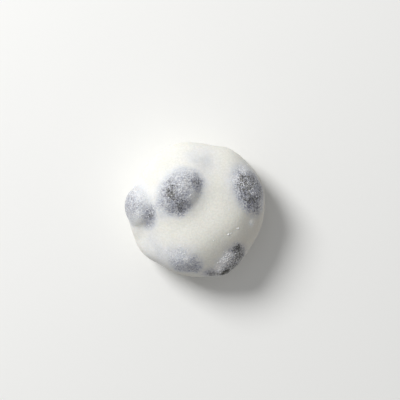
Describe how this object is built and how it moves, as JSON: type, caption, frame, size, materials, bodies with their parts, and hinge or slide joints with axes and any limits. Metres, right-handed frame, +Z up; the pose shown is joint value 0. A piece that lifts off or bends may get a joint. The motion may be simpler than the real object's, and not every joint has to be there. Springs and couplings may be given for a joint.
{
  "type": "mochi rice cake",
  "caption": "Round soft rice cake of white pounded-rice dough, flat underneath, with big dark beans lifting its skin.",
  "frame": {"origin": "centre of the cake's box, on the table plane it rests on", "axes": "+Z up from the table, +X across the cake's widest way to the right as seen from above, +Y away towards the top of that view"},
  "size_m": [0.0566, 0.0548, 0.0328],
  "materials": {
    "dough": "soft rice dough dusted with starch",
    "bean": "cooked black soybean"
  },
  "bodies": {
    "root": {"dough": "dough", "bean_crown": "bean", "bean_left": "bean", "bean_right": "bean", "bean_lower_right": "bean", "bean_lower": "bean"}
  },
  "joints": []
}
